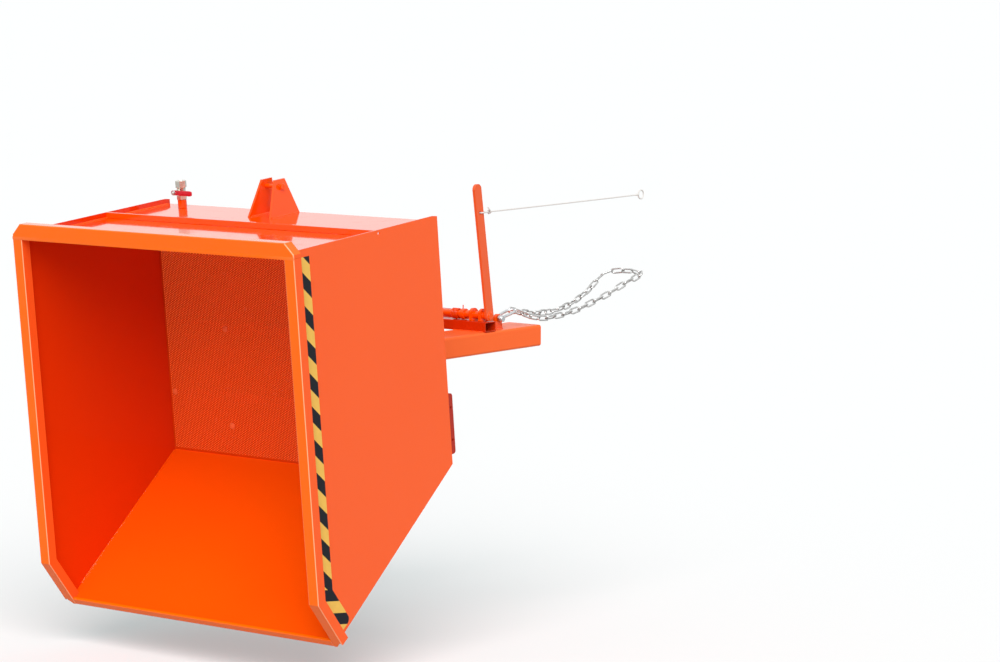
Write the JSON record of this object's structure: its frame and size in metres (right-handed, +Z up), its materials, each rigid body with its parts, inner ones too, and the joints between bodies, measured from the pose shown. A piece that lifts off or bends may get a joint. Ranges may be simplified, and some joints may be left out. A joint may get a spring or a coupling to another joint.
{
  "type": "self dumping hopper",
  "caption": "Orange steel self dumping hopper with striped edge tape, carried on fork pockets and tipped forward on its front hinge, with latch lever, safety chain and drain valve.",
  "frame": {"origin": "on the centre plane, at the rear mouths of the fork pockets, on the inner top faces that rest on the forks", "axes": "+Z up, +X forward, the way the hopper tips, +Y to the truck driver's left"},
  "size_m": [2.1707, 1.25, 1.465],
  "materials": {
    "orange_paint": "glossy orange enamel",
    "zinc_steel": "zinc plated",
    "chain_steel": "galvanised",
    "nickel": "nickel plated brass",
    "red_handle": "red plastic coating",
    "warning_film": "yellow and black striped film",
    "rope": "white braided rope"
  },
  "bodies": {
    "frame": {"fork_pocket_left": "orange_paint", "fork_pocket_right": "orange_paint", "dump_stop_left": "orange_paint", "dump_stop_right": "orange_paint", "cross_tube": "orange_paint", "rest_beam": "orange_paint", "rear_cross_plate": "orange_paint", "hinge_bracket_left": "orange_paint", "hinge_bracket_right": "orange_paint", "hinge_pin_left": "zinc_steel", "hinge_pin_right": "zinc_steel", "shaft_bearing_outer": "orange_paint", "shaft_bearing_middle": "orange_paint", "shaft_bearing_hook_left": "orange_paint", "shaft_bearing_hook_right": "orange_paint", "return_spring": "orange_paint", "chain_lug": "orange_paint", "shackle": "zinc_steel", "shackle_pin": "zinc_steel", "safety_chain": "chain_steel", "release_rope": "rope", "rope_end_loop": "rope"},
    "lever": {"release_shaft": "orange_paint", "release_lever": "orange_paint", "spring_collar": "orange_paint", "rope_knot": "rope", "latch_hook": "orange_paint"},
    "hopper": {"chute_plate": "orange_paint", "drain_socket": "orange_paint", "false_floor": "orange_paint", "floor_bearer_1": "orange_paint", "floor_bearer_2": "orange_paint", "floor_bearer_3": "orange_paint", "floor_plate": "orange_paint", "hinge_lug_left": "orange_paint", "hinge_lug_right": "orange_paint", "lashing_plate_left": "orange_paint", "lashing_plate_right": "orange_paint", "latch_bracket_left": "orange_paint", "latch_bracket_right": "orange_paint", "latch_pin": "orange_paint", "rear_wall": "orange_paint", "rim_lip": "orange_paint", "rim_rear": "orange_paint", "rim_side_left": "orange_paint", "rim_side_right": "orange_paint", "side_plate_left": "orange_paint", "side_plate_right": "orange_paint", "valve_body": "nickel", "wall_stiffener": "orange_paint", "warning_tape_left": "warning_film", "warning_tape_right": "warning_film"},
    "valve_turn": {"valve_handle": "red_handle", "handle_nut": "zinc_steel", "valve_stem": "nickel", "valve_ball": "nickel"}
  },
  "joints": [
    {"name": "hopper_tip", "type": "hinge", "parent": "frame", "child": "hopper", "pos_m": [0.78362, 0, 0.085], "axis": [0, 1, 0], "range_deg": [-95.7, 0]},
    {"name": "latch_lever", "type": "hinge", "parent": "frame", "child": "lever", "pos_m": [0.28602, 0.381, 0.06], "axis": [0, 1, 0], "range_deg": [0, 5]},
    {"name": "drain_handle", "type": "hinge", "parent": "hopper", "child": "valve_turn", "pos_m": [0.95227, -0.483, 0.48583], "axis": [0.9951, 0, -0.0993], "range_deg": [0, 90]}
  ]
}
